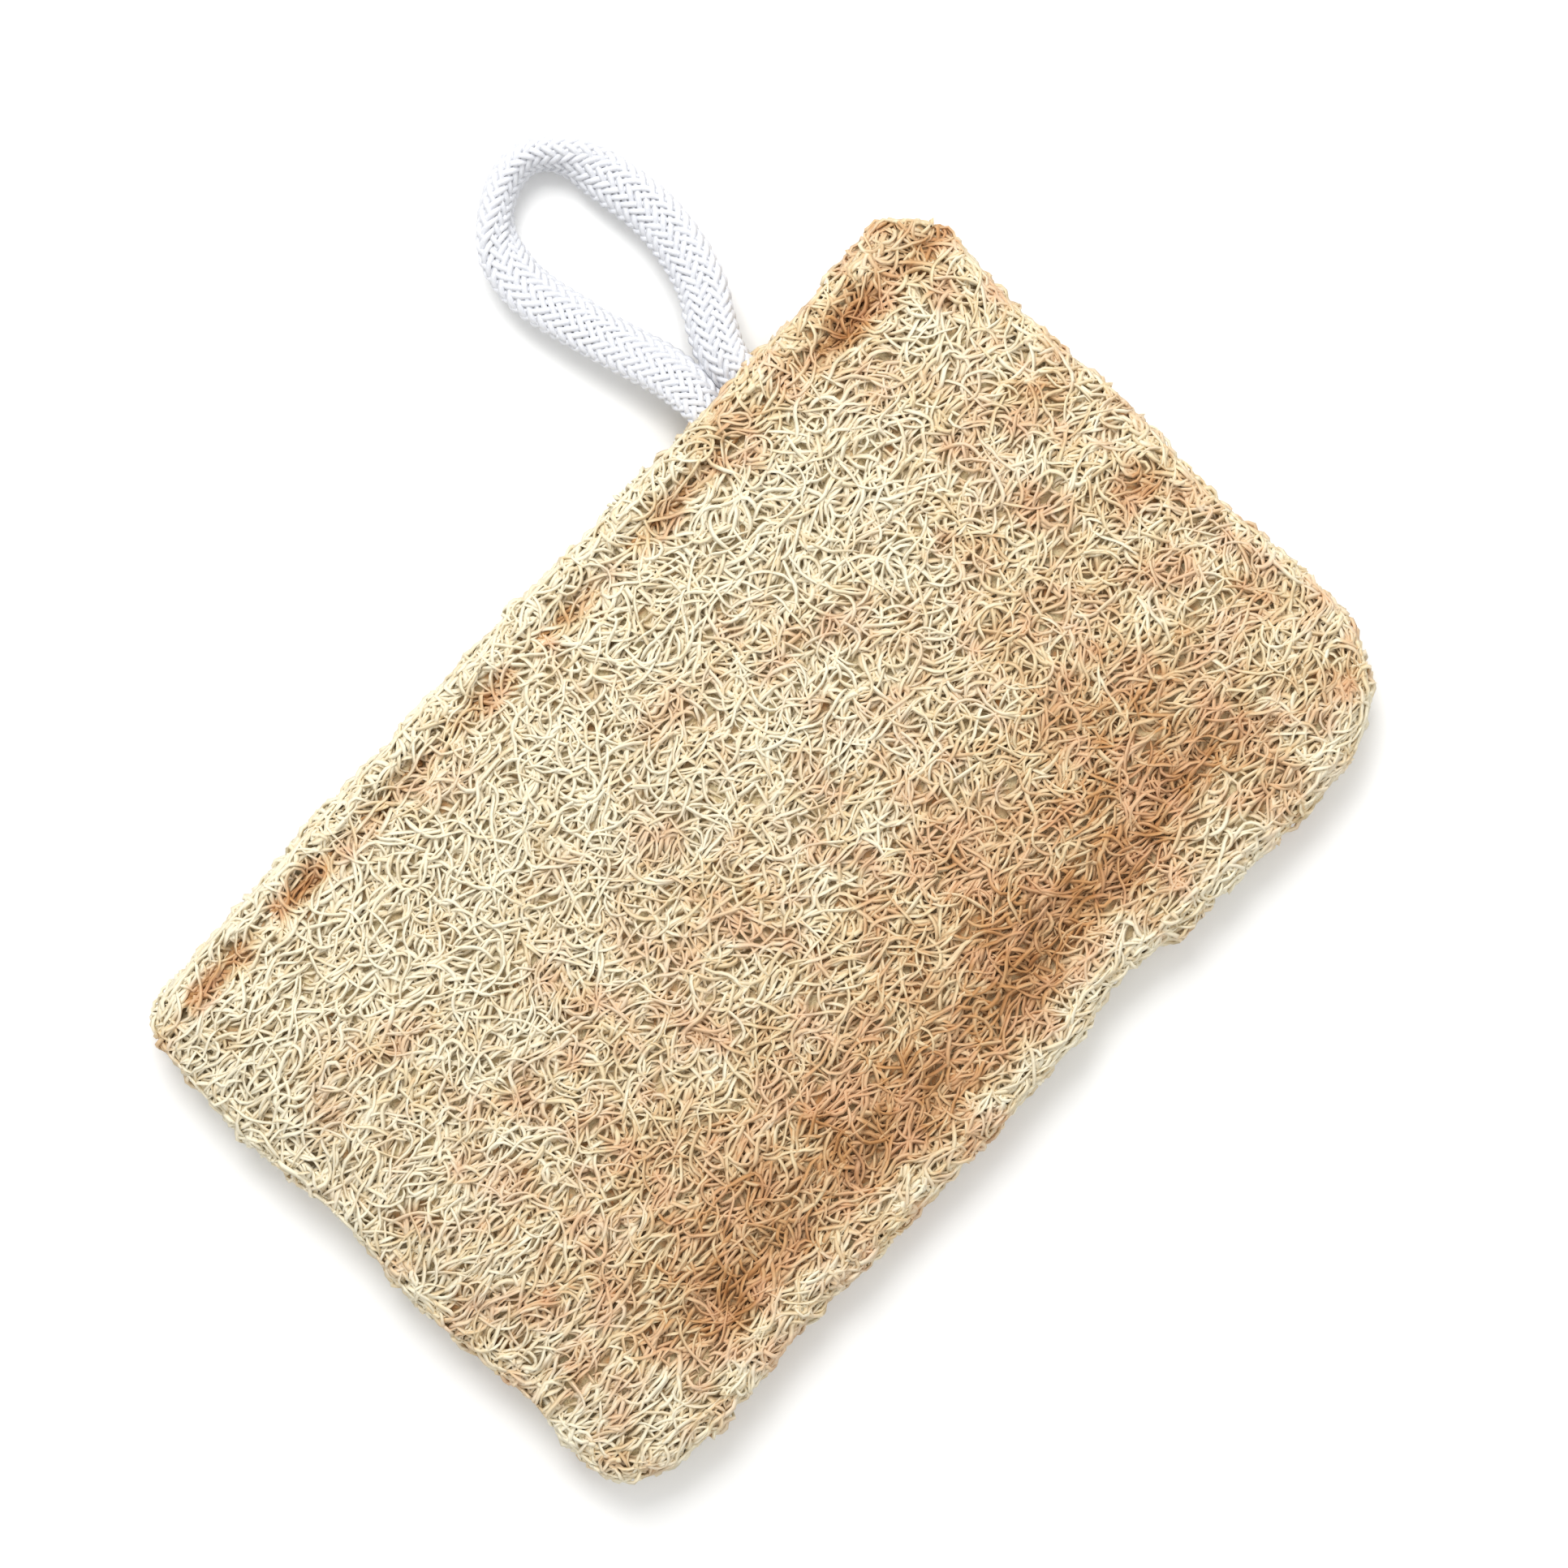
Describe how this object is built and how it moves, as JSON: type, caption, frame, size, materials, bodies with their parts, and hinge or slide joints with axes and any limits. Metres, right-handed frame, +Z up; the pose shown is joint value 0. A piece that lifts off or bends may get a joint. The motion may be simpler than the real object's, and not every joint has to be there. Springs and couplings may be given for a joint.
{
  "type": "loofah pad with hanging loop",
  "caption": "Flat rectangular natural loofah scrubbing pad with a coarse fibre net, a sewn long edge and a white braided cord loop for hanging it up.",
  "frame": {"origin": "on the resting surface, under the middle of the pad", "axes": "+X along the pad's long side, +Y towards the edge with the cord loop, +Z up out of the upper face"},
  "size_m": [0.1413, 0.1282, 0.0138],
  "materials": {
    "loofah_fibre": "dry, coarse, matt plant fibre",
    "braided_cord": "white braided yarn",
    "sewing_thread": "twisted natural thread"
  },
  "bodies": {
    "root": {"loofah_pad": "loofah_fibre", "cord_loop": "braided_cord", "seam_thread": "sewing_thread"}
  },
  "joints": []
}
